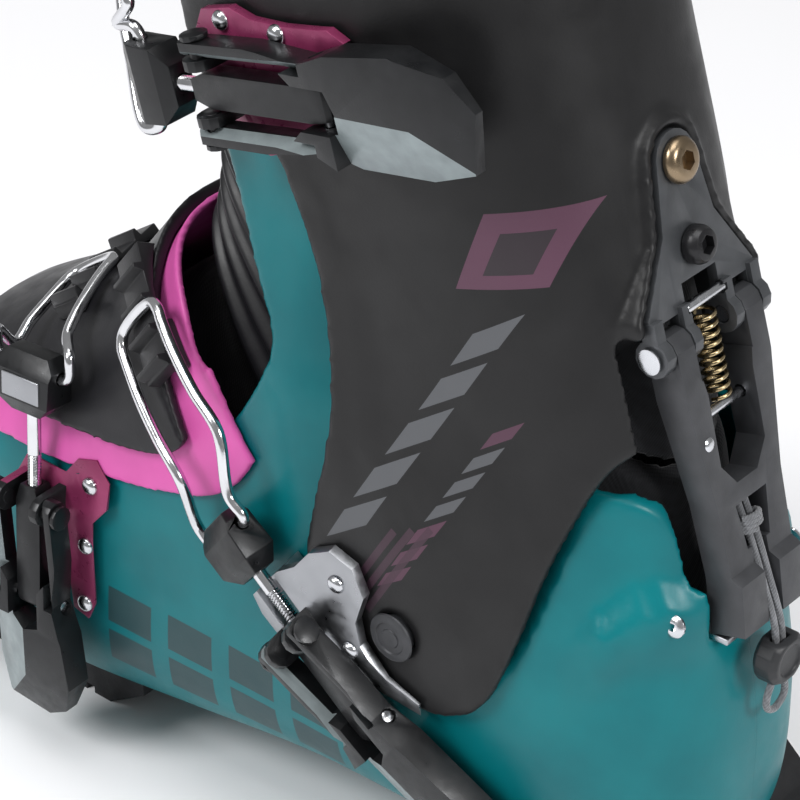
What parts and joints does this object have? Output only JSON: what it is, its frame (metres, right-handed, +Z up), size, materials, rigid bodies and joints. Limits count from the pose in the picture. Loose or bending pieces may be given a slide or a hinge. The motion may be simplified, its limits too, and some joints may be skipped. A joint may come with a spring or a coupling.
{
  "type": "alpine ski boot",
  "caption": "Left touring ski boot: teal lower shell, dark hinged cuff and ribbed tongue, latching wire buckles, and a ski-walk lever with pull cord behind.",
  "frame": {"origin": "on the ground plane, under the middle of the boot's box without its loose cord", "axes": "+X to the toe, +Y to the outer side of the left foot, +Z up"},
  "size_m": [0.3017, 0.114, 0.3252],
  "materials": {
    "shell_plastic": "satin moulded polyurethane",
    "cuff_plastic": "fine satin, slightly mottled",
    "tongue_plastic": "satin",
    "lip_plastic": "satin",
    "sole_rubber": "grippy matt",
    "insert_steel": "ground",
    "board_foam": "matt moulded foam",
    "liner_foam": "woven face over foam",
    "strap_webbing": "webbing",
    "buckle_metal": "satin black with grey facets",
    "base_wine": "anodised look",
    "base_silver": "satin",
    "wire_steel": "polished wire",
    "pin_steel": "polished",
    "ladder_plastic": "moulded",
    "plate_metal": "satin grey",
    "lever_metal": "satin dark grey",
    "screw_bronze": "satin bronze",
    "screw_black": "blackened",
    "spring_brass": "plated wire",
    "pivot_grey": "satin",
    "cord_grey": "braided",
    "toggle_plastic": "moulded"
  },
  "bodies": {
    "shell": {"lower_shell": "shell_plastic", "toe_sole": "sole_rubber", "heel_sole": "sole_rubber", "toe_insert": "insert_steel", "heel_insert": "insert_steel", "boot_board": "board_foam", "tongue_lip": "lip_plastic", "tongue_foot": "tongue_plastic", "tongue_flex": "tongue_plastic", "liner_foot": "liner_foam", "liner_ankle": "liner_foam", "lock_plate": "insert_steel", "pivot_outer": "pivot_grey", "pivot_inner": "pivot_grey", "ledge_screw_outer": "pin_steel", "ledge_screw_inner": "pin_steel", "toe_base": "base_wine", "toe_ladder": "ladder_plastic", "ankle_base": "base_silver", "ankle_ladder": "ladder_plastic"},
    "cuff": {"cuff_shell": "cuff_plastic", "tongue_shin": "tongue_plastic", "liner_cuff": "liner_foam", "power_strap": "strap_webbing", "lever_plate": "plate_metal", "plate_screw_upper": "screw_bronze", "plate_screw_lower": "screw_black", "hinge_pin_outer": "pin_steel", "hinge_pin_inner": "pin_steel", "spring_axle": "pin_steel", "lever_spring": "spring_brass", "cuff_base": "base_wine", "cuff_ladder": "ladder_plastic"},
    "walk_lever": {"walk_lever": "lever_metal", "lever_crossbar": "pin_steel", "cord_knot": "cord_grey", "pull_cord": "cord_grey", "cord_toggle": "toggle_plastic"},
    "toe_lever": {"toe_lever": "buckle_metal", "toe_lever_pin": "pin_steel"},
    "toe_bail": {"toe_sleeve": "buckle_metal", "toe_rod": "wire_steel", "toe_block": "buckle_metal"},
    "toe_wire": {"toe_wire": "wire_steel"},
    "ankle_lever": {"ankle_lever": "buckle_metal", "ankle_lever_pin": "pin_steel"},
    "ankle_bail": {"ankle_sleeve": "buckle_metal", "ankle_rod": "wire_steel", "ankle_block": "buckle_metal"},
    "ankle_wire": {"ankle_wire": "wire_steel"},
    "cuff_lever": {"cuff_lever": "buckle_metal", "cuff_lever_pin": "pin_steel"},
    "cuff_bail": {"cuff_sleeve": "buckle_metal", "cuff_rod": "wire_steel", "cuff_block": "buckle_metal"},
    "cuff_wire": {"cuff_wire": "wire_steel"}
  },
  "joints": [
    {"name": "cuff_pivot", "type": "hinge", "parent": "shell", "child": "cuff", "pos_m": [-0.07, -0.0046, 0.091], "axis": [0, 1, 0], "range_deg": [0, 9], "deforming": ["tongue_flex", "liner_ankle"]},
    {"name": "walk_lever_hinge", "type": "hinge", "parent": "cuff", "child": "walk_lever", "pos_m": [-0.1235, -0.0046, 0.177], "axis": [0, 1, 0], "range_deg": [0, 35], "deforming": ["lever_spring"]},
    {"name": "toe_lever_hinge", "type": "hinge", "parent": "shell", "child": "toe_lever", "pos_m": [0.0524, 0.051, 0.08102], "axis": [0.9985, 0.0474, -0.027], "range_deg": [0, 120]},
    {"name": "toe_bail_hinge", "type": "hinge", "parent": "toe_lever", "child": "toe_bail", "pos_m": [0.05162, 0.05034, 0.05103], "axis": [0.9985, 0.0474, -0.027], "range_deg": [-108, 0]},
    {"name": "toe_wire_hinge", "type": "hinge", "parent": "toe_bail", "child": "toe_wire", "pos_m": [0.05382, 0.04213, 0.11802], "axis": [0.9985, 0.0474, -0.027], "range_deg": [-54, 0]},
    {"name": "ankle_lever_hinge", "type": "hinge", "parent": "shell", "child": "ankle_lever", "pos_m": [-0.04193, 0.04966, 0.0789], "axis": [0.6349, -0.1911, -0.7486], "range_deg": [0, 120]},
    {"name": "ankle_bail_hinge", "type": "hinge", "parent": "ankle_lever", "child": "ankle_bail", "pos_m": [-0.06432, 0.04391, 0.06138], "axis": [0.6349, -0.1911, -0.7486], "range_deg": [-108, 0]},
    {"name": "ankle_wire_hinge", "type": "hinge", "parent": "ankle_bail", "child": "ankle_wire", "pos_m": [-0.01882, 0.04533, 0.09961], "axis": [0.6349, -0.1911, -0.7486], "range_deg": [-36, 0]},
    {"name": "cuff_lever_hinge", "type": "hinge", "parent": "cuff", "child": "cuff_lever", "pos_m": [-0.01728, 0.04382, 0.22098], "axis": [-0.2245, -0.04, -0.9737], "range_deg": [0, 120]},
    {"name": "cuff_bail_hinge", "type": "hinge", "parent": "cuff_lever", "child": "cuff_bail", "pos_m": [-0.05432, 0.04398, 0.22951], "axis": [-0.2245, -0.04, -0.9737], "range_deg": [-108, 0]},
    {"name": "cuff_wire_hinge", "type": "hinge", "parent": "cuff_bail", "child": "cuff_wire", "pos_m": [0.0047, 0.04048, 0.21604], "axis": [-0.2245, -0.04, -0.9737], "range_deg": [-36, 0]}
  ],
  "couplings": [
    {"joint": "toe_bail_hinge", "follows": "toe_lever_hinge", "ratio": -0.9},
    {"joint": "toe_wire_hinge", "follows": "toe_lever_hinge", "ratio": -0.45},
    {"joint": "ankle_bail_hinge", "follows": "ankle_lever_hinge", "ratio": -0.9},
    {"joint": "ankle_wire_hinge", "follows": "ankle_lever_hinge", "ratio": -0.3},
    {"joint": "cuff_bail_hinge", "follows": "cuff_lever_hinge", "ratio": -0.9},
    {"joint": "cuff_wire_hinge", "follows": "cuff_lever_hinge", "ratio": -0.3}
  ]
}
